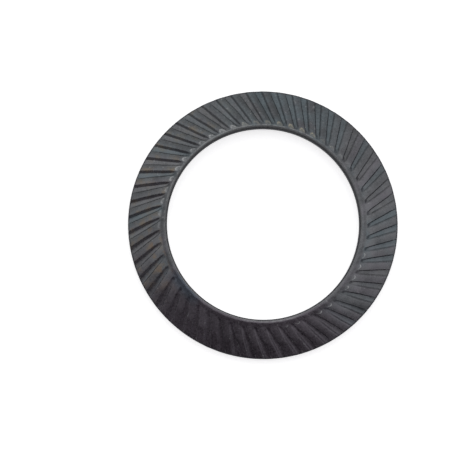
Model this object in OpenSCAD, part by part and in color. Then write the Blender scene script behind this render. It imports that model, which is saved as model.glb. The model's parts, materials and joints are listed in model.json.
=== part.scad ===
// Serrated safety washer: a coned ring of spring steel with skewed locking serrations on both faces.
// It lies with its hollow face down, on the narrow foot around its rim, and its axis is Z.

/* [Ring] */
// Outside diameter
outer_d = 36; // [34:0.5:40]
// Clear diameter of the bore
bore_d = 25.6; // [24:0.1:26.4]
// Thickness over the crests, square to the cone
thickness = 1.8; // [1.6:0.05:2.1]
// Slope of the cone against the ground
cone_angle = 16.5; // [13:0.5:19]
// Lean of the rim wall, out towards the raised face
rim_lean = 12; // [6:1:16]
// Widening of the bore's radius from its land to the raised face
bore_flare = 0.32; // [0.2:0.02:0.4]
// Height of the straight land at the narrow end of the bore
bore_land = 0.45; // [0.3:0.05:0.6]
// Width of the flat foot around the rim
foot_w = 0.25; // [0.15:0.05:0.4]
// Radius of the rim's edge on the raised face
crest_edge_r = 0.3; // [0.2:0.02:0.36]
// Radius of the other edges
edge_r = 0.12; // [0.06:0.02:0.16]

/* [Serrations] */
// Grooves on each face
grooves = 54; // [48:1:57]
// Depth from crest to floor, square to the cone
groove_depth = 0.27; // [0.2:0.01:0.3]
// Radius of the circle that the line of every groove touches
skew_r = 6.7; // [5:0.1:8]
// Width of a groove's floor halfway along it
floor_w = 0.5; // [0.4:0.02:0.56]
// Angle between the two sides of a groove, closing towards the bore
groove_taper = 4.8; // [3:0.2:5.6]
// Slope of the locking flank against the floor
steep_flank = 57; // [50:1:65]
// Slope of the gentle flank against the floor
gentle_flank = 45; // [38:1:50]
// Plain band on the raised face, from the bore's edge to the grooves
bore_band = 0.36; // [0.3:0.02:0.6]
// Length of the ramp at the end of a groove
groove_ramp = 0.4; // [0.24:0.02:0.5]
// Plain margin on the hollow face, at the bore and at the rim
back_margin = 0.4; // [0.3:0.05:0.6]

/* [Hidden] */
$fn = 96;
// Flats in each rounded edge
arc_steps = 4;
// Overrun of the cutting shapes past the faces that they cut
clear = 0.15;
// How much nearer to the bore the crests' bevels end than the grooves' ramps
bevel_lead = 0.05;
outer_r = outer_d / 2;
bore_r = bore_d / 2;
slope = tan(cone_angle);
// Height taken up by a length square to the cone
function upright(d) = d / cos(cone_angle);

// The rim's edge is an arc that touches the crest cone and the leaning rim wall
rim_normal = [cos(rim_lean), -sin(rim_lean)];
crest_normal = [sin(cone_angle), cos(cone_angle)];
rim_centre_r = outer_r - crest_edge_r;
rim_corner = crest_edge_r * (rim_normal + crest_normal) / (1 + rim_normal * crest_normal);
// Reach of the foot's outer edge arc along the ground
foot_reach = edge_r / tan(45 + rim_lean / 2);
// Height of the foot over the sharp corner that it trims off
foot_trim = (foot_w + foot_reach) / (1 / slope + tan(rim_lean));
// Drop from the crest cone, over the arc's centre, to where the arc meets the rim wall
wall_drop = upright(crest_edge_r) + crest_edge_r * sin(rim_lean);
// Height of the crest cone's tip over the ground, which puts the foot at Z 0
apex = (upright(thickness) + slope * (rim_centre_r + crest_edge_r * cos(rim_lean))
    + slope * tan(rim_lean) * (slope * rim_centre_r + wall_drop)) / (1 + slope * tan(rim_lean)) - foot_trim;

// Point of the section at a radius, sunk below the crests by a depth square to the cone
function at_depth(r, depth) = [r, apex - slope * r - upright(depth)];

rim_centre = at_depth(rim_centre_r, crest_edge_r);
rim_edge = rim_centre + rim_corner;
foot_edge = [rim_edge[0] - rim_edge[1] * tan(rim_lean), 0];
foot_in = foot_edge[0] - foot_reach - foot_w;
band_depth = groove_depth / 2;
flare_r = bore_r + bore_flare;
ramp_end = flare_r + bore_band;
land_foot = at_depth(bore_r, thickness);
land_low = land_foot[1] + edge_r / tan(45 + cone_angle / 2);
land_top = [bore_r, land_low + bore_land];
back_in = bore_r + back_margin;
back_out = foot_in - back_margin;

// Middle of a groove, where its skew and its floor width are taken
mid_r = (ramp_end + outer_r) / 2;
mid_skew = atan(tan(asin(skew_r / mid_r)) * cos(cone_angle));
slot_l = 2 * (outer_r - bore_r);
slot_w = 2 * PI * outer_r / grooves;

function unit(v) = v / norm(v);

// Corner b = [x, y, radius] between a and c, rounded by an arc
function corner_arc(a, b, c) =
    let (p = [b[0], b[1]],
        u = unit([a[0], a[1]] - p),
        v = unit([c[0], c[1]] - p),
        half = acos(u * v) / 2,
        centre = p + unit(u + v) * b[2] / sin(half),
        start = p + u * b[2] / tan(half) - centre,
        first = atan2(start[1], start[0]),
        sweep = (180 - 2 * half) * sign(cross(v, u)))
    [for (i = [0:arc_steps]) centre + b[2] * [for (f = [0, 90]) cos(first + sweep * i / arc_steps - f)]];

// Outline from corners [x, y, radius], where a radius of 0 leaves a corner sharp
function rounded(corners) =
    let (n = len(corners))
    [for (i = [0:n - 1]) each corners[i][2] > 0
        ? corner_arc(corners[(i + n - 1) % n], corners[i], corners[(i + 1) % n])
        : [[corners[i][0], corners[i][1]]]];

function with_radius(p, r) = [p[0], p[1], r];

// Ring before its grooves: foot, rim, crests, their bevelled inner ends, plain band and bore
module blank() {
    rotate_extrude()
        polygon(rounded([
            [foot_in, 0, 0],
            with_radius(foot_edge, edge_r),
            with_radius(rim_edge, crest_edge_r),
            with_radius(at_depth(ramp_end + groove_ramp - bevel_lead, 0), 0),
            with_radius(at_depth(ramp_end - bevel_lead, band_depth), 0),
            with_radius(at_depth(flare_r, band_depth), edge_r),
            with_radius(land_top, 0),
            with_radius(land_foot, edge_r)
        ]));
}

// Side of a slot: a block whose face is one flank, with the slot on the inside of it
module flank(angle) {
    translate([0, floor_w / 2, -groove_depth])
        rotate(groove_taper / 2)
            rotate([angle - 90, 0, 0])
                translate([-slot_l / 2, -slot_w, -slot_w])
                    cube([slot_l, slot_w, 2 * slot_w]);
}

// Slot along X, its floor below the crest plane Z 0, the locking flank on +Y
module slot() {
    rotate(mid_skew)
        intersection() {
            flank(steep_flank);
            mirror([0, 1, 0]) flank(gentle_flank);
        }
}

// Space that the grooves of the raised face take up: it runs out through the rim and ramps up by the bore
module face_zone() {
    rotate_extrude()
        polygon([
            at_depth(ramp_end + groove_ramp, groove_depth),
            at_depth(outer_r + clear, groove_depth),
            at_depth(outer_r + clear, -clear),
            at_depth(ramp_end - groove_ramp * (band_depth + clear) / band_depth, -clear)
        ]);
}

// Space that the grooves of the hollow face take up: it ramps up at both ends
module back_zone() {
    ramp_out = groove_ramp * clear / groove_depth;
    rotate_extrude()
        polygon([
            at_depth(back_in - ramp_out, thickness + clear),
            at_depth(back_out + ramp_out, thickness + clear),
            at_depth(back_out - groove_ramp, thickness - groove_depth),
            at_depth(back_in + groove_ramp, thickness - groove_depth)
        ]);
}

// Grooves of the raised face
module face_grooves() {
    crest = at_depth(mid_r, 0);
    for (i = [0:grooves - 1])
        rotate(i * 360 / grooves)
            intersection() {
                face_zone();
                translate([crest[0], 0, crest[1]]) rotate([0, cone_angle, 0]) slot();
            }
}

// Grooves of the hollow face, the same hand when seen from that side
module back_grooves() {
    crest = at_depth(mid_r, thickness);
    for (i = [0:grooves - 1])
        rotate(i * 360 / grooves)
            intersection() {
                back_zone();
                translate([crest[0], 0, crest[1]]) rotate([0, cone_angle, 0]) rotate([180, 0, 0]) slot();
            }
}

module washer() {
    color([0.25, 0.26, 0.26])
        difference() {
            blank();
            face_grooves();
            back_grooves();
        }
}

washer();
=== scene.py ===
import json
import math
from functools import lru_cache

import bmesh
import bpy
from mathutils import Matrix, Vector, noise


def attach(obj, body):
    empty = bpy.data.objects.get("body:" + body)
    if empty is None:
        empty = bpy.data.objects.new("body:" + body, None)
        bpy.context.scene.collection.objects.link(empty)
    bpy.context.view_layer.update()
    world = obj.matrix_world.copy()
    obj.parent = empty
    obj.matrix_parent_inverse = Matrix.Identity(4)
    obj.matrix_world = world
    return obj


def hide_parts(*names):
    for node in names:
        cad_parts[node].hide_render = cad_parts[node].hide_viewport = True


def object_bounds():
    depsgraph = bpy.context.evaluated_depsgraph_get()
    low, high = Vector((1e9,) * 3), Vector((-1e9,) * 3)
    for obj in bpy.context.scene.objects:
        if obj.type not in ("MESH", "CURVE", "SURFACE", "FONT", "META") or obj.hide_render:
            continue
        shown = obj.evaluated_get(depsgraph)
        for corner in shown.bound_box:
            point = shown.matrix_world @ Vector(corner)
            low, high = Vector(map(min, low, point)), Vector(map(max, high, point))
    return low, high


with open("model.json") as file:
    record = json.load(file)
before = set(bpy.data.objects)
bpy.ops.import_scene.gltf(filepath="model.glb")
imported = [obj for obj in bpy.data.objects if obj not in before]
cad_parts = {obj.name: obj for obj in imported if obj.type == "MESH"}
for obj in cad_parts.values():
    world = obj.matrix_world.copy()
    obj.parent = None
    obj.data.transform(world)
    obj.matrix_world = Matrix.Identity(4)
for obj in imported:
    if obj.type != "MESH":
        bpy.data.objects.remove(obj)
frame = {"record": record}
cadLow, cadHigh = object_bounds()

mm = 0.001
scene = bpy.context.scene
scene.view_settings.view_transform = "Standard"
bore = next(m for m in frame["record"]["mounts"] if m["name"] == "bore")
print("frame loaded, washer", [round(s / mm, 2) for s in cadHigh - cadLow], "mm")

# the ring in mm and degrees, its outside and its hole taken from the frame
ring = {
    "outerR": min(cadHigh.x, cadHigh.y, -cadLow.x, -cadLow.y) / mm,
    "boreR": bore["dims"]["r_mm"],
    "landTop": bore["pos_m"][2] / mm + bore["dims"]["length_mm"] / 2,
    "thickness": 1.8,    # over the crests, square to the cone
    "coneAngle": 16.5,
    "rimLean": 12.0,
    "boreFlare": 0.32,
    "footWidth": 0.25,
    "rimEdge": 0.3,      # radius of the rim's upper edge
    "otherEdge": 0.12,
}

coneAngle = math.radians(ring["coneAngle"])
rimLean = math.radians(ring["rimLean"])
slope = math.tan(coneAngle)
coneCos = math.cos(coneAngle)
leanTan = math.tan(rimLean)

# the foot stands at height 0, so the cone's tip is worked out from the sharp corner that the foot trims off
arcR = ring["outerR"] - ring["rimEdge"]
wallR = arcR + ring["rimEdge"] * math.cos(rimLean)
wallDrop = ring["rimEdge"] / coneCos + ring["rimEdge"] * math.sin(rimLean)
footReach = ring["otherEdge"] / math.tan(math.radians(45 + ring["rimLean"] / 2))
footTrim = (ring["footWidth"] + footReach) / (1 / slope + leanTan)
apex = ring["thickness"] / coneCos + slope * wallR + slope * leanTan * (slope * arcR + wallDrop)
apex = apex / (1 + slope * leanTan) - footTrim


# height of the cone at a radius, sunk below the crests
def coneZ(r, sink):
    return apex - slope * r - sink / coneCos


wallZ = coneZ(arcR, 0) - wallDrop
footEdgeR = wallR - wallZ * leanTan
footIn = footEdgeR - footReach - ring["footWidth"]
flareR = ring["boreR"] + ring["boreFlare"]

# the serrations in mm and degrees
teeth = {
    "count": 54,
    "depth": 0.27,
    "skewR": 6.7,         # circle that every groove's line touches
    "floorWidth": 0.5,    # of a groove, halfway along it
    "taper": 4.8,         # by which a groove closes towards the bore
    "steep": 66.0,        # slope of the locking flank
    "gentle": 45.0,
    "boreBand": 0.36,     # plain band round the bore
    "ramp": 0.4,
    "tipLead": 0.05,      # the crests end this much nearer to the bore than the grooves
    "weakSide": -100.0,   # where round the ring the crests' ends are stamped least
    "weakFocus": 2,       # the higher, the sooner the depth comes back away from there
    "weakRamp": 2.2,      # length of the crests' ends there
    "weakDepth": 0.62,    # the grooves' depth there, as a share
    "keenSide": 10.0,     # where the locking flanks are steepest
    "keen": 12.0,         # and by how much
    "nearSide": 107.0,    # where the teeth reach nearest to the bore
    "nearFocus": 3,       # the higher, the narrower that place
    "nearReach": 0.22,    # how far into the plain band they reach there
    "farReach": -0.38,    # and how far they stop short of it elsewhere
    "backMargin": 0.4,    # plain margin on the hollow face
    "soften": 0.08,       # sharp corners are rounded over about this much
    "roundGentle": 0.14,  # and the gentle flank's over more
    "leastRound": 0.01,   # share of the rounding that is left where a groove ends
    "crown": 0.012,       # how far the lands' edges lie below their middles
    "wobble": 0.04,       # sideways unevenness of the flanks
    "wobbleNoise": (3.71, 0.9, 4.2),    # its noise: way for each tooth, way for each mm, seed
    "flankApart": 50,     # way in that noise between the two sides of a groove
    "uneven": 0.1,        # unevenness of the depth, as a share
    "unevenNoise": (2.13, 0.5, 9.1),
    "waves": 0.008,       # slow unevenness of the faces
    "waveSeed": 2.7,
    "turnFrom": 0.3,      # share of the thickness where the mesh lines begin to turn to the hollow face's
    "turnOver": 0.4,
    "faceWithin": 0.1,    # down to this share of the thickness a vertex is on the raised face
    "arcMargin": 0.1,     # and up to this far in from the rim's edge arc
}

pitch = 2 * math.pi / teeth["count"]
steepTan = math.tan(math.radians(teeth["steep"]))
gentleTan = math.tan(math.radians(teeth["gentle"]))
taperTan = math.tan(math.radians(teeth["taper"] / 2))
bandDepth = teeth["depth"] / 2
rampEnd = flareR + teeth["boreBand"]
tipEnd = rampEnd - teeth["tipLead"]
crestTop = coneZ(tipEnd + teeth["ramp"], 0)
backIn = ring["boreR"] + teeth["backMargin"]
backOut = footIn - teeth["backMargin"]
midR = (rampEnd + ring["outerR"]) / 2
midSkew = math.atan(math.tan(math.asin(teeth["skewR"] / midR)) * coneCos)

# mesh lines across one tooth: what each one follows, and how far from it in mm or along it as a share
toothLines = [
    ("land", 0.6), ("land", 0.82),
    ("gentleTop", -0.075), ("gentleTop", -0.025), ("gentleTop", 0.03), ("gentleTop", 0.085),
    ("gentle", 0.5),
    ("gentleFoot", -0.08), ("gentleFoot", -0.03), ("gentleFoot", 0.02), ("gentleFoot", 0.06),
    ("floor", 0.5),
    ("steepFoot", -0.06), ("steepFoot", -0.02), ("steepFoot", 0.015), ("steepFoot", 0.04),
    ("steep", 0.5),
    ("steepTop", -0.035), ("steepTop", 0.0), ("steepTop", 0.035), ("steepTop", 0.08), ("steepTop", 0.15),
    ("land", 0.36),
]
floorLine = toothLines.index(("floor", 0.5))


def clamp01(x):
    return min(max(x, 0), 1)


def easeInOut(x):
    x = clamp01(x)
    return x * x * (3 - 2 * x)


def softMin(a, b, k=teeth["soften"]):
    h = max(k - abs(a - b), 0) / k
    return min(a, b) - h * h * k / 4


def softMax(a, b, k):
    return -softMin(-a, -b, k)


def bell(x, width):
    return math.exp(-(x / width) ** 2)


# 1 at one place round the ring, easing to 0 across from it
def facing(angle, place):
    return easeInOut(0.5 + 0.5 * math.cos(angle - math.radians(place)))


# unevenness along one tooth, from -1 to 1
def alongTooth(tooth, r, kind, shift=0):
    perTooth, perMm, seed = teeth[kind]
    return noise.noise((tooth * perTooth + shift, r * perMm, seed))


# half the floor's width where the groove's middle line crosses a radius
@lru_cache(maxsize=None)
def halfFloor(r):
    alongR, alongT = math.cos(midSkew) * coneCos, math.sin(midSkew)
    a = alongR ** 2 + alongT ** 2
    b = midR * alongR
    along = (math.sqrt(b * b - a * (midR ** 2 - r ** 2)) - b) / a
    return teeth["floorWidth"] / 2 + along * taperTan


# angle round the ring of a point that lies some way across a groove
def angleAcross(r, across):
    a = r * math.cos(midSkew)
    b = r * math.sin(midSkew) / coneCos
    c = midR * math.sin(midSkew) / coneCos
    return math.atan2(b, a) + math.asin((across - c) / math.hypot(a, b))


# one mesh line at a radius: its angle, its way across the groove, and its place on the land from -1 to 1
@lru_cache(maxsize=None)
def toothLine(r, line):
    half = halfFloor(r)
    corner = {
        "gentleTop": -half - teeth["depth"] / gentleTan,
        "gentleFoot": -half,
        "steepFoot": half,
        "steepTop": half + teeth["depth"] / steepTan,
    }
    stretch = {
        "gentle": ("gentleTop", "gentleFoot"),
        "floor": ("gentleFoot", "steepFoot"),
        "steep": ("steepFoot", "steepTop"),
    }
    landStart = angleAcross(r, corner["steepTop"]) - pitch
    landEnd = angleAcross(r, corner["gentleTop"])
    turn = pitch if line > floorLine else 0
    follows, amount = toothLines[line]
    if follows == "land":
        angle = landStart + (landEnd - landStart) * amount + turn
        return angle, None, 2 * amount - 1
    if follows in stretch:
        start, end = (corner[name] for name in stretch[follows])
        across = start + (end - start) * amount
    else:
        across = corner[follows] + amount
    angle = angleAcross(r, across)
    share = (angle - turn - landStart) / (landEnd - landStart)
    return angle, across, 2 * clamp01(share) - 1


# how deep a groove alone is at a way across it
def grooveSink(r, across, depth, keen):
    half = halfFloor(r)
    steep = depth - (across - half) * math.tan(math.radians(teeth["steep"] + keen))
    gentle = depth + (across + half) * gentleTan
    return softMin(softMin(depth, steep), gentle, teeth["roundGentle"])


# raised face: the crests' ends slope down to the plain band, and the grooves ramp up to it
def faceSink(r, across, depth, keen, reach, endRamp, tipRamp):
    crest = bandDepth * clamp01((tipEnd - reach + tipRamp - r) / tipRamp)
    if across is None:
        return crest
    ramp = clamp01((r - rampEnd + reach) / endRamp)
    floor = bandDepth * (1 + ramp)
    rounding = teeth["soften"] if across > 0 else teeth["roundGentle"]
    rounding *= max(ramp, teeth["leastRound"])
    return softMax(crest, softMin(floor, grooveSink(r, across, depth, keen)), rounding)


# hollow face: the grooves ramp up at both ends
def backSink(r, across, depth, keen):
    if across is None:
        return 0
    room = teeth["depth"] / teeth["ramp"] * min(r - backIn, backOut - r)
    rounding = teeth["soften"] if across > 0 else teeth["roundGentle"]
    return softMax(0, softMin(room, grooveSink(r, across, depth, keen)), rounding)


def midpoint(edge):
    a, b = edge.verts
    return (a.co + b.co) / 2


# the ring's section as one face, its corners rounded and its sides cut into stations
def buildSection(bm):
    rimZ = (coneZ(wallR, 0) + slope * leanTan * wallZ) / (1 + slope * leanTan)
    tipTop = tipEnd + teeth["ramp"] - teeth["farReach"]
    tipLow = tipEnd - teeth["nearReach"]
    inRamp, outRamp = backIn + teeth["ramp"], backOut - teeth["ramp"]
    places = {
        "footIn": (footIn, 0),
        "footEdge": (footEdgeR, 0),
        "rimEdge": (wallR + (rimZ - wallZ) * leanTan, rimZ),
        "tipTop": (tipTop, coneZ(tipTop, 0)),
        "tipLow": (tipLow, coneZ(tipLow, bandDepth)),
        "boreEdge": (flareR, coneZ(flareR, bandDepth)),
        "landTop": (ring["boreR"], ring["landTop"]),
        "landFoot": (ring["boreR"], coneZ(ring["boreR"], ring["thickness"])),
        "backIn": (backIn, coneZ(backIn, ring["thickness"])),
        "inRamp": (inRamp, coneZ(inRamp, ring["thickness"])),
        "outRamp": (outRamp, coneZ(outRamp, ring["thickness"])),
        "backOut": (backOut, coneZ(backOut, ring["thickness"])),
    }
    # cuts in each side
    stations = {
        ("footEdge", "rimEdge"): 3,
        ("rimEdge", "tipTop"): 11,
        ("tipTop", "tipLow"): 12,
        ("tipLow", "boreEdge"): 1,
        ("boreEdge", "landTop"): 3,
        ("landTop", "landFoot"): 2,
        ("backIn", "inRamp"): 2,
        ("inRamp", "outRamp"): 9,
        ("outRamp", "backOut"): 2,
    }
    # radius and segments of each round
    rounds = {
        "rimEdge": (ring["rimEdge"], 8),
        "footEdge": (ring["otherEdge"], 3),
        "boreEdge": (ring["otherEdge"], 4),
        "landFoot": (ring["otherEdge"], 3),
    }
    corner = {name: bm.verts.new((r * mm, 0, z * mm)) for name, (r, z) in places.items()}
    bm.faces.new(corner.values())
    middles = {(a, b): (corner[a].co + corner[b].co) / 2 for a, b in stations}
    for name, (radius, segments) in rounds.items():
        v = corner[name]
        a, b = [e.other_vert(v).co - v.co for e in v.link_edges]
        bmesh.ops.bevel(bm, geom=[v], offset=radius * mm / math.tan(a.angle(b) / 2), offset_type="OFFSET",
                        affect="VERTICES", segments=segments, profile=0.5, material=-1)
    for ends, cuts in stations.items():
        side = min(bm.edges, key=lambda e: (midpoint(e) - middles[ends]).length)
        bmesh.ops.subdivide_edges(bm, edges=[side], cuts=cuts)
    bmesh.ops.delete(bm, geom=bm.faces[:], context="FACES_ONLY")


# wear and walls for the finish: in mm, or as shares of a land's half width or of the thickness
marks = {
    "blend": 9.0,           # how fast one zone changes to the next, for each mm or thickness
    "archTop": 0.8,         # the worn arch on a crest's end, as a share of the end's length
    "archDrop": 0.7,        # and how far it drops to the sides
    "archWidth": 0.08,
    "underArch": 0.25,      # lesser wear from the arch to the band
    "underBlend": 8.0,      # and how fast it begins, for each mm
    "sideBlend": 5.0,       # how fast the wear begins from the land's sides
    "edgeAt": 0.9,          # the worn line along a land's edge
    "edgeWidth": 0.2,
    "edgeFrom": 0.4,        # height in the tooth where it begins
    "edgeOver": 0.4,
    "wallFoot": 0.97,       # the walls end at this share of the thickness
    "boreWallFrom": 0.1,
    "boreWallOver": 0.08,
    "rimWallIn": 0.27,      # how far in from the rim's face its near black painted shade reaches
    "rimWallOver": 0.18,
    "boreEdgeOut": 0.05,    # the worn line round the bore's edge
    "boreEdgeWidth": 0.06,
}


# wear on a crest's end, by how far a point is past the end and where it lies across the land
def tipWear(pastTip, endRamp, onLand):
    inArch = pastTip + endRamp * (marks["archTop"] - marks["archDrop"] * onLand ** 2)
    under = marks["underArch"] * clamp01(inArch * marks["underBlend"])
    wear = max(bell(inArch, marks["archWidth"]), under)
    wear *= easeInOut((1 - abs(onLand)) * marks["sideBlend"])
    return wear * clamp01(0.5 - pastTip * marks["blend"])


# how much a point of the blank lies on the bore's wall, and on the rim's
def wallMarks(r, z, sunk):
    aboveFoot = clamp01((marks["wallFoot"] - sunk) * marks["blend"])
    onBore = clamp01((sunk - marks["boreWallFrom"]) / marks["boreWallOver"])
    onBore *= clamp01((midR - r) * marks["blend"])
    inFromWall = footEdgeR + z * leanTan - r
    onRim = clamp01((marks["rimWallIn"] - inFromWall) / marks["rimWallOver"])
    return onBore * aboveFoot, onRim * aboveFoot


# moves the turned blank's vertices to the teeth, and notes on each vertex what the finish needs to know
def stampTeeth(bm, steps):
    form = bm.verts.layers.float_color.new("toothForm")      # height, worn edge, worn tip, wall
    place = bm.verts.layers.float_color.new("toothPlace")    # own land, own groove, bore's edge, over land
    lines = len(toothLines)
    for v in bm.verts:
        r = round(math.hypot(v.co.x, v.co.y) / mm, 4)    # rounded, so that a line is worked out only once
        z = v.co.z / mm
        sunk = (coneZ(r, 0) - z) * coneCos / ring["thickness"]
        onBack = sunk > 0.5
        boreWall, rimWall = wallMarks(r, z, sunk)
        step = round(math.atan2(v.co.y, v.co.x) / (2 * math.pi) * steps) % steps
        tooth, line = divmod(step, lines)
        angle, across, onLand = toothLine(r, line)
        backAngle, backAcross, backOnLand = toothLine(r, -line % lines)
        backAngle = (pitch if line else 0) - backAngle
        turned = easeInOut((sunk - teeth["turnFrom"]) / teeth["turnOver"])
        angle += (backAngle - angle) * turned + tooth * pitch
        if onBack:
            across, onLand = backAcross, backOnLand
        weak = facing(angle, teeth["weakSide"])
        depth = teeth["depth"] * (1 + teeth["uneven"] * alongTooth(tooth, r, "unevenNoise"))
        depth *= 1 + (teeth["weakDepth"] - 1) * weak ** teeth["weakFocus"]
        keen = teeth["keen"] * facing(angle, teeth["keenSide"])
        if across is not None:
            shift = 0 if across < 0 else teeth["flankApart"]
            across += teeth["wobble"] * alongTooth(tooth, r, "wobbleNoise", shift)
        if onBack:
            sink = backSink(r, across, depth, keen)
            z = max(z, coneZ(r, ring["thickness"] - sink))
        else:
            near = facing(angle, teeth["nearSide"]) ** teeth["nearFocus"]
            reach = teeth["farReach"] + (teeth["nearReach"] - teeth["farReach"]) * near
            endRamp = teeth["ramp"] + max(reach, 0)
            tipRamp = endRamp + (teeth["weakRamp"] - endRamp) * weak
            sink = faceSink(r, across, depth, keen, reach, endRamp, tipRamp) + teeth["crown"] * onLand ** 2
            wave = 0.5 + 0.5 * noise.noise((r * math.cos(angle), r * math.sin(angle), teeth["waveSeed"]))
            level = min(coneZ(r, sink) - teeth["waves"] * wave, crestTop)
            onFace = tipEnd - reach < r < arcR - teeth["arcMargin"] and sunk < teeth["faceWithin"]
            z = level if onFace else min(z, level)
        height = 1 - clamp01(sink / teeth["depth"])
        tip = 0
        if not onBack:
            pastTip = tipEnd - reach - r
            height = max(height, clamp01(pastTip * marks["blend"]))
            tip = tipWear(pastTip, endRamp, onLand)
        edge = bell(abs(onLand) - marks["edgeAt"], marks["edgeWidth"])
        edge *= easeInOut((height - marks["edgeFrom"]) / marks["edgeOver"])
        boreEdge = bell(r - flareR - marks["boreEdgeOut"], marks["boreEdgeWidth"]) * (1 - boreWall)
        landNumber = (tooth + (1 if line > floorLine else 0)) % teeth["count"]
        ownLand = 0.5 + 0.5 * noise.cell((landNumber, 0.5, 0.5))
        ownGroove = 0.5 + 0.5 * noise.cell((tooth, 3.5, 0.5))
        v[form] = (height, edge, tip, max(boreWall, rimWall))
        v[place] = (ownLand, ownGroove, 0 if onBack else boreEdge, 0.5 + 0.5 * onLand)
        v.co = Vector((r * math.cos(angle), r * math.sin(angle), z)) * mm


def buildWasher():
    bm = bmesh.new()
    buildSection(bm)
    steps = teeth["count"] * len(toothLines)
    bmesh.ops.spin(bm, geom=bm.verts[:] + bm.edges[:], cent=(0, 0, 0), axis=(0, 0, 1),
                   angle=pitch, steps=len(toothLines))
    bmesh.ops.spin(bm, geom=bm.verts[:] + bm.edges[:] + bm.faces[:], cent=(0, 0, 0), axis=(0, 0, 1),
                   angle=2 * math.pi - pitch, steps=teeth["count"] - 1, use_duplicate=True)
    bmesh.ops.remove_doubles(bm, verts=bm.verts[:], dist=1e-4 * mm)
    print("blank turned,", len(bm.verts), "vertices")
    stampTeeth(bm, steps)
    bmesh.ops.recalc_face_normals(bm, faces=bm.faces[:])
    for face in bm.faces:
        face.smooth = True
    mesh = bpy.data.meshes.new("serratedRing")
    bm.to_mesh(mesh)
    bm.free()
    washer = bpy.data.objects.new("serratedRing", mesh)
    scene.collection.objects.link(washer)
    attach(washer, "root")
    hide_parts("washer")
    print("teeth stamped,", teeth["count"], "on each face,", len(mesh.polygons), "faces")
    return washer


# links a socket to what feeds it, or sets it to a plain value
def feed(tree, socket, value):
    if isinstance(value, bpy.types.NodeSocket):
        tree.links.new(value, socket)
    else:
        socket.default_value = value


def addNode(tree, kind, **inputs):
    made = tree.nodes.new(kind)
    for name, value in inputs.items():
        feed(tree, made.inputs[name], value)
    return made


def mixColour(tree, factor, a, b, blend="MIX"):
    made = tree.nodes.new("ShaderNodeMix")
    made.data_type = "RGBA"
    made.blend_type = blend
    for socket, value in ((0, factor), (6, a), (7, b)):    # the mix node's factor and its two colours
        feed(tree, made.inputs[socket], value)
    return made.outputs[2]


def calc(tree, operation, a, b):
    made = tree.nodes.new("ShaderNodeMath")
    made.operation = operation
    feed(tree, made.inputs[0], a)
    feed(tree, made.inputs[1], b)
    return made.outputs[0]


def plus(tree, a, b):
    return calc(tree, "ADD", a, b)


def minus(tree, a, b):
    return calc(tree, "SUBTRACT", a, b)


def times(tree, a, b):
    return calc(tree, "MULTIPLY", a, b)


def larger(tree, a, b):
    return calc(tree, "MAXIMUM", a, b)


# sum of some values, each times its weight
def weighed(tree, values, weights):
    total = 0.0
    for name, weight in weights.items():
        total = plus(tree, total, times(tree, values[name], weight))
    return total


def remap(tree, value, fromLow, fromHigh, toLow=0.0, toHigh=1.0):
    made = tree.nodes.new("ShaderNodeMapRange")
    made.interpolation_type = "SMOOTHSTEP"
    tree.links.new(value, made.inputs["Value"])
    made.inputs["From Min"].default_value = fromLow
    made.inputs["From Max"].default_value = fromHigh
    made.inputs["To Min"].default_value = toLow
    made.inputs["To Max"].default_value = toHigh
    return made.outputs["Result"]


def vectorCalc(tree, operation, a, b=(0, 0, 0)):
    made = tree.nodes.new("ShaderNodeVectorMath")
    made.operation = operation
    feed(tree, made.inputs[0], a)
    feed(tree, made.inputs[1], b)
    return made.outputs["Value" if operation in ("DOT_PRODUCT", "LENGTH") else "Vector"]


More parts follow.
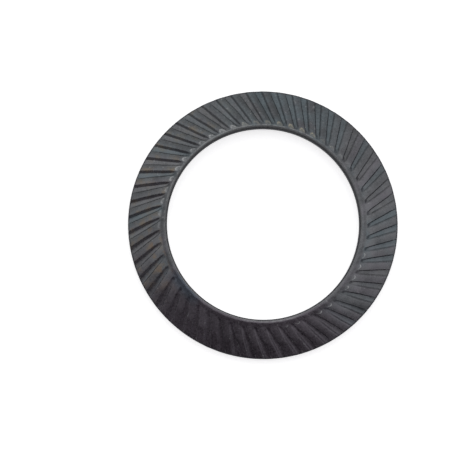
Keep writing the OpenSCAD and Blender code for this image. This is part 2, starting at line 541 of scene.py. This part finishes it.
# the finish: blackened spring steel, brown and grey where the oxide is thin, bright where it is worn off;
# with painted shade on the walls, on one side of some lands and round some sides of the ring, and painted
# light round others
steel = {
    "lands": (0.124, 0.127, 0.134, 1),
    "violet": (0.120, 0.114, 0.128, 1),
    # painted shade with a purple tint, for the side that faces the dark of the room
    "purple": (0.098, 0.088, 0.102, 1),
    "blued": (0.082, 0.096, 0.118, 1),
    "brown": (0.154, 0.132, 0.106, 1),
    # painted shade on the lands' steep side
    "shaded": (0.070, 0.076, 0.080, 1),
    "grooves": (0.126, 0.128, 0.134, 1),
    "cool": (0.102, 0.123, 0.134, 1),
    # painted shade: near black on the walls and the rim's rounded edge
    "wall": (0.015, 0.017, 0.022, 1),
    "wallShadePale": (0.032, 0.035, 0.040, 1),
    "bare": (0.36, 0.37, 0.37, 1),
    "bareWarm": (0.30, 0.28, 0.22, 1),
    "rust": (0.185, 0.125, 0.085, 1),
    # noise: about how many mm its spots are across, its detail, and how far it is moved
    "spots": {
        "grain": (0.26, 4, 0),
        "fine": (0.104, 3, 11),
        "patch": (2.2, 3, 23),
        "tint": (1.1, 4, 41),
        "speck": (0.52, 2, 67),
    },
    "spotsMove": (1.0, 0.7, 1.3),    # and which way
    # places round the ring: the middle, how far it is full and where it ends, in degrees
    "around": {
        "brown": (174, 25, 80),
        "rust": (-159, 8, 17),
        "worn": (115, 35, 85),
        "wornToo": (-40, 15, 45),
        "warm": (79, 15, 35),
        # painted shade: the top of the ring, a little to the right, made darker in place of less light
        # there
        "paintedShadeTop": (66, 14, 32),
        # painted light: the right side of the ring, made lighter in place of more light there
        "paintedLightRight": (4, 14, 40),
        "shaded": (136, 45, 78),
        "cool": (106, 30, 60),
        "purple": (-96, 30, 62),
        "blued": (-136, 4, 13),
        # painted shade on the plain band at the left
        "paintedBandShade": (-170, 25, 58),
        "wornBore": (-82, 8, 22),
    },
    # places by the bore: the radius in mm up to which it is full, and where it ends
    "within": {
        "blued": (13.6, 14.8),
        "rust": (14.8, 15.8),
        "band": (13.5, 13.8),
    },
    # how much each of them makes the face lighter, and the plain band besides; on the right side this is
    # painted light, on the top side painted shade, and on the band painted light and shade
    "tone": {"grain": 0.65, "patch": 0.55, "own": 0.1, "paintedShadeTop": -0.03, "cool": -0.012, "paintedLightRight": 0.075},
    "paintedBandLightShade": {"paintedBandShade": -0.19, "paintedLightRight": -0.09, "purple": 0.15},
    "landShare": 0.8,       # how far the lands' colour follows the height
    "boreWear": 0.5,
    "leastWear": 0.05,      # wear away from the worn places
    "finePits": 0.4,
    "pitDepth": 0.01,       # in mm
    "pitStrength": 0.3,
}

# how a pattern's value becomes an amount: from low and high, to low and high
amounts = {
    "violetLand": (0.9, 1.5, 0, 0.7),
    "coolLand": (0.35, 0.65, 0.1, 1),
    "brownLand": (0.9, 1.25, 0, 1),
    "shadedLand": (0.9, 0.1, 0.08, 0.72),
    "coolGroove": (0.6, 1.3, 0, 1),
    "landSpread": (0.3, 0.7, -0.2, 0.4),
    "paintedLightLeft": (0.2, 0.6, 0.14, 0.08),
    "tone": (0.4, 0.9, 0.68, 1.32),
    "someLands": (0.3, 0.7, 0, 1),
    "tipCore": (0.4, 0.9, 0, 0.8),
    "tipSpeck": (0.4, 1.1, 0.3, 1.4),
    "tipGrain": (0.34, 0.58, 0.4, 1),
    "boreSpeck": (0.3, 0.6, 0, 1),
    "edgeSpeck": (0.6, 0.75, 0, 0.4),
    "landSpeck": (0.66, 0.74, 0, 0.7),
    "rustSpot": (0.5, 0.65, 0, 0.7),
    "wallShadeSpots": (0.75, 1.3, 0, 1),
    "roughness": (0.3, 0.7, 0.25, 0.36),
    "wallRoughness": (0.3, 0.7, 0.5, 0.66),
    "metal": (0, 1, 0.85, 0.3),    # from the faces to the walls
    "pits": (0, 1, 1, 0.4),        # from elsewhere to the purple side
}


# the four numbers that an attribute holds for each vertex
def vertexMarks(tree, name):
    read = tree.nodes.new("ShaderNodeAttribute")
    read.attribute_name = name
    parts = addNode(tree, "ShaderNodeSeparateColor", Color=read.outputs["Color"])
    return [*parts.outputs, read.outputs["Alpha"]]


# noise, moved along so that no two are alike
def spots(tree, coord, size, detail, move):
    shift = addNode(tree, "ShaderNodeMapping", Vector=coord)
    shift.inputs["Location"].default_value = [move * way * mm for way in steel["spotsMove"]]
    made = addNode(tree, "ShaderNodeTexNoise", Vector=shift.outputs["Vector"],
                   Scale=1 / (size * mm), Detail=detail, Roughness=0.6)
    return made.outputs["Fac"]


# how much a point lies in one place round the ring, from 0 to 1
def placed(tree, outward, middle, full, end):
    middle = math.radians(middle)
    near = vectorCalc(tree, "DOT_PRODUCT", outward, (math.cos(middle), math.sin(middle), 0))
    return remap(tree, near, math.cos(math.radians(end)), math.cos(math.radians(full)))


def blackenedSteel():
    mat = bpy.data.materials.new("blackenedSteel")
    mat.use_nodes = True
    tree = mat.node_tree
    shader = tree.nodes["Principled BSDF"]
    coord = tree.nodes.new("ShaderNodeTexCoord").outputs["Object"]
    flat = vectorCalc(tree, "MULTIPLY", coord, (1, 1, 0))
    outward = vectorCalc(tree, "NORMALIZE", flat)
    radius = vectorCalc(tree, "LENGTH", flat)
    height, edge, tip, wall = vertexMarks(tree, "toothForm")
    ownLand, ownGroove, boreEdge, overLand = vertexMarks(tree, "toothPlace")
    grain, fine, patch, tint, speck = (spots(tree, coord, *kind) for kind in steel["spots"].values())
    around = {name: placed(tree, outward, *where) for name, where in steel["around"].items()}
    within = {}
    for name, (full, end) in steel["within"].items():
        within[name] = remap(tree, radius, end * mm, full * mm)

    # lands: grey, some violet, teal or brown; grooves: grey, some of them cooler
    violet = remap(tree, plus(tree, ownLand, tint), *amounts["violetLand"])
    lands = mixColour(tree, violet, steel["lands"], steel["violet"])
    coolLand = times(tree, around["cool"], remap(tree, patch, *amounts["coolLand"]))
    lands = mixColour(tree, coolLand, lands, steel["cool"])
    brown = times(tree, remap(tree, plus(tree, patch, tint), *amounts["brownLand"]), around["brown"])
    brown = times(tree, brown, minus(tree, 1.0, within["band"]))
    lands = mixColour(tree, brown, lands, steel["brown"])
    # painted shade: lands made darker towards their steep side, on the left and top of the ring
    shaded = times(tree, around["shaded"], remap(tree, overLand, *amounts["shadedLand"]))
    lands = mixColour(tree, shaded, lands, steel["shaded"])
    coolGroove = remap(tree, plus(tree, ownGroove, tint), *amounts["coolGroove"])
    grooves = mixColour(tree, coolGroove, steel["grooves"], steel["cool"])
    patchy = plus(tree, times(tree, height, steel["landShare"]), remap(tree, tint, *amounts["landSpread"]))
    colour = mixColour(tree, patchy, grooves, lands)
    # painted shade with a purple tint: the side of the ring that faces the dark of the room is made darker
    colour = mixColour(tree, around["purple"], colour, steel["purple"])
    colour = mixColour(tree, times(tree, around["blued"], within["blued"]), colour, steel["blued"])

    # lighter and darker by grain and patches, from land to land and groove to groove, and by place: painted
    # light on the right and left sides, painted shade on the top side and painted light and shade on the
    # plain band
    own = plus(tree, times(tree, height, minus(tree, ownLand, ownGroove)), ownGroove)
    tone = weighed(tree, {"grain": grain, "patch": patch, "own": own, **around}, steel["tone"])
    # painted light: on the brown side, at the left, grooves and lands are made lighter in place of more
    # light there
    tone = plus(tree, tone, times(tree, around["brown"], remap(tree, height, *amounts["paintedLightLeft"])))
    # painted light and shade on the plain band: darker at the left, lighter on the side that faces the
    # dark, and without the right side's painted light
    paintedBandLightShade = weighed(tree, around, steel["paintedBandLightShade"])
    tone = plus(tree, tone, times(tree, within["band"], paintedBandLightShade))
    colour = mixColour(tree, 1.0, colour, remap(tree, tone, *amounts["tone"]), "MULTIPLY")

    # worn bare at the crests' ends, along the bore and here and there on edges and lands
    wornToo = times(tree, around["wornToo"], remap(tree, ownLand, *amounts["someLands"]))
    wornToo = times(tree, remap(tree, tip, *amounts["tipCore"]), wornToo)
    wornTip = plus(tree, times(tree, tip, around["worn"]), wornToo)
    tipSpots = remap(tree, plus(tree, speck, ownLand), *amounts["tipSpeck"])
    tipSpots = times(tree, tipSpots, remap(tree, grain, *amounts["tipGrain"]))
    boreWear = times(tree, larger(tree, around["worn"], around["wornBore"]), steel["boreWear"])
    boreWear = plus(tree, boreWear, steel["leastWear"])
    wornBore = times(tree, times(tree, boreEdge, boreWear), remap(tree, speck, *amounts["boreSpeck"]))
    wornEdge = times(tree, edge, remap(tree, speck, *amounts["edgeSpeck"]))
    wornLand = times(tree, boreWear, remap(tree, speck, *amounts["landSpeck"]))
    worn = larger(tree, wornBore, larger(tree, wornEdge, wornLand))
    colour = mixColour(tree, worn, colour, steel["bare"])
    bareTip = mixColour(tree, around["warm"], steel["bare"], steel["bareWarm"])
    colour = mixColour(tree, times(tree, wornTip, tipSpots), colour, bareTip)

    # a little rust on the lands of one side, and near black painted shade on the walls and the rim's
    # rounded edge
    rusty = times(tree, around["rust"], minus(tree, within["rust"], within["band"]))
    rust = times(tree, times(tree, height, rusty), remap(tree, tint, *amounts["rustSpot"]))
    colour = mixColour(tree, rust, colour, steel["rust"])
    wallShadeSpots = remap(tree, plus(tree, tint, grain), *amounts["wallShadeSpots"])
    wallShade = mixColour(tree, wallShadeSpots, steel["wall"], steel["wallShadePale"])
    tree.links.new(mixColour(tree, wall, colour, wallShade), shader.inputs["Base Color"])

    # the sheared walls are rougher than the stamped faces
    rough = remap(tree, grain, *amounts["roughness"])
    wallRough = times(tree, wall, remap(tree, grain, *amounts["wallRoughness"]))
    tree.links.new(larger(tree, rough, wallRough), shader.inputs["Roughness"])
    tree.links.new(remap(tree, wall, *amounts["metal"]), shader.inputs["Metallic"])

    pits = plus(tree, grain, times(tree, fine, steel["finePits"]))
    pits = times(tree, pits, remap(tree, around["purple"], *amounts["pits"]))
    bump = addNode(tree, "ShaderNodeBump", Strength=steel["pitStrength"],
                   Distance=steel["pitDepth"] * mm, Height=pits)
    tree.links.new(bump.outputs["Normal"], shader.inputs["Normal"])
    print("finish made,", len(tree.nodes), "nodes")
    return mat


# where the photograph has the washer
shot = {
    "framePx": 452,
    "axisPx": (263.03, 224.01),
    "radiusPx": 134.9,
    "lens": 135.0,
    "tilt": 7.0,        # lean of the camera from the washer's axis, in degrees
    "tiltTurn": -8.0,   # which way it leans
    "roll": 4.37,
}


def buildCamera():
    data = bpy.data.cameras.new("camera")
    data.lens = shot["lens"]
    data.clip_start = 1 * mm
    focalPx = shot["framePx"] * data.lens / data.sensor_width
    distance = focalPx * ring["outerR"] * mm / shot["radiusPx"]
    metrePerPx = distance / focalPx
    middle = shot["framePx"] / 2
    right = (shot["axisPx"][0] - middle) * metrePerPx
    up = (middle - shot["axisPx"][1]) * metrePerPx
    roll = Matrix.Rotation(math.radians(shot["roll"]), 4, "Z")
    turn = Matrix.Rotation(math.radians(shot["tiltTurn"]), 4, "Z")
    tilt = roll @ turn @ Matrix.Rotation(math.radians(shot["tilt"]), 4, "X") @ turn.inverted()
    aim = Matrix.Translation((0, 0, coneZ(arcR, ring["rimEdge"]) * mm))
    camera = bpy.data.objects.new("camera", data)
    camera.matrix_world = aim @ tilt @ Matrix.Translation((-right, -up, distance))
    scene.collection.objects.link(camera)
    scene.camera = camera
    print("camera", [round(c / mm, 1) for c in camera.matrix_world.translation], "mm")


# pale floor, one wide soft box overhead, a pale room, and one side of it in the dark; in metres and degrees
studio = {
    "floorSize": 1.2,
    "floorColour": (0.9, 0.9, 0.9, 1),
    "floorGlow": 0.68,
    "boxHeight": 0.5,
    "boxEdges": (-14.0, 52.0),    # near and far edge, from straight up
    "boxSide": 57.0,
    "boxLevel": 0.25,
    "horizon": (0.6, 0.6, 0.6, 1),
    "room": (0.75, 0.75, 0.76, 1),
    "roomLow": (0.20, 0.19, 0.21, 1),
    "roomLeft": (0.38, 0.38, 0.39, 1),
    "roomFar": (0.66, 0.66, 0.67, 1),
    "dark": (0.05, 0.03, 0.045, 1),
    # sides of the room, clockwise from the picture's top
    "leftClock": 310.0,           # where it is paler down to the floor
    "farClock": 358.0,            # and palest
    "rightClock": 110.0,          # where it is dim, but for what the soft box lights
    "darkClock": 194.0,
    "darkEdge": 17.0,             # how far from straight up the dark begins
    # where one part of the room starts and ends to change to the next, as the sine of an angle
    "leftBlur": (0, 0.45),
    "farBlur": (0.5, 0.88),
    "rightBlur": (0.57, 0.67),
    "darkBlur": (-0.25, 0.25),
    "lowBlur": (0.42, 0.82),
    "horizonBlur": (0, 0.04),
}


def buildFloor():
    bm = bmesh.new()
    bmesh.ops.create_grid(bm, x_segments=1, y_segments=1, size=studio["floorSize"] / 2)
    mesh = bpy.data.meshes.new("floor")
    bm.to_mesh(mesh)
    bm.free()
    floor = bpy.data.objects.new("floor", mesh)
    scene.collection.objects.link(floor)
    mat = bpy.data.materials.new("paleFloor")
    mat.use_nodes = True
    tree = mat.node_tree
    shader = tree.nodes["Principled BSDF"]
    shader.inputs["Base Color"].default_value = studio["floorColour"]
    shader.inputs["Roughness"].default_value = 1.0
    shader.inputs["Specular IOR Level"].default_value = 0.0
    shader.inputs["Emission Color"].default_value = (1, 1, 1, 1)
    path = tree.nodes.new("ShaderNodeLightPath").outputs
    seen = larger(tree, path["Is Camera Ray"], path["Is Glossy Ray"])
    seen = larger(tree, seen, path["Is Transmission Ray"])
    tree.links.new(times(tree, seen, studio["floorGlow"]), shader.inputs["Emission Strength"])
    mesh.materials.append(mat)
    print("floor laid")


# how far a direction points to one side of the picture, from -1 to 1
def towards(tree, coord, clock):
    turn = Matrix.Rotation(math.radians(shot["roll"] - clock), 4, "Z")
    return vectorCalc(tree, "DOT_PRODUCT", coord, turn @ Vector((0, 1, 0)))


def buildLight():
    above = studio["boxHeight"]
    nearEdge, farEdge = (above * math.tan(math.radians(a)) for a in studio["boxEdges"])
    lamp = bpy.data.lights.new("softBox", "AREA")
    lamp.shape = "RECTANGLE"
    lamp.size = 2 * above * math.tan(math.radians(studio["boxSide"]))
    lamp.size_y = farEdge - nearEdge
    lamp.energy = studio["boxLevel"] * math.pi * lamp.size * lamp.size_y
    box = bpy.data.objects.new("softBox", lamp)
    awayFromDark = Matrix.Rotation(math.radians(shot["roll"] + 180 - studio["darkClock"]), 4, "Z")
    box.matrix_world = awayFromDark @ Matrix.Translation((0, (nearEdge + farEdge) / 2, above))
    scene.collection.objects.link(box)

    world = bpy.data.worlds.new("studio")
    scene.world = world
    world.use_nodes = True
    tree = world.node_tree
    coord = tree.nodes.new("ShaderNodeTexCoord").outputs["Generated"]
    up = addNode(tree, "ShaderNodeSeparateXYZ", Vector=coord).outputs["Z"]
    edge = math.radians(studio["darkEdge"])
    intoDark = awayFromDark @ Vector((0, -math.cos(edge), -math.sin(edge)))
    dark = remap(tree, vectorCalc(tree, "DOT_PRODUCT", coord, intoDark), *studio["darkBlur"])
    left = remap(tree, towards(tree, coord, studio["leftClock"]), *studio["leftBlur"])
    far = remap(tree, towards(tree, coord, studio["farClock"]), *studio["farBlur"])
    right = remap(tree, towards(tree, coord, studio["rightClock"]), *studio["rightBlur"])
    high = mixColour(tree, dark, studio["room"], studio["dark"])
    high = mixColour(tree, right, high, studio["roomLow"])
    low = mixColour(tree, left, studio["roomLow"], studio["roomLeft"])
    low = mixColour(tree, far, low, studio["roomFar"])
    sky = mixColour(tree, remap(tree, up, *studio["lowBlur"]), low, high)
    sky = mixColour(tree, remap(tree, up, *studio["horizonBlur"]), studio["horizon"], sky)
    tree.links.new(sky, tree.nodes["Background"].inputs["Color"])
    print("light set, soft box", round(lamp.energy, 1), "W")


washer = buildWasher()
washer.data.materials.append(blackenedSteel())
buildCamera()
buildFloor()
buildLight()
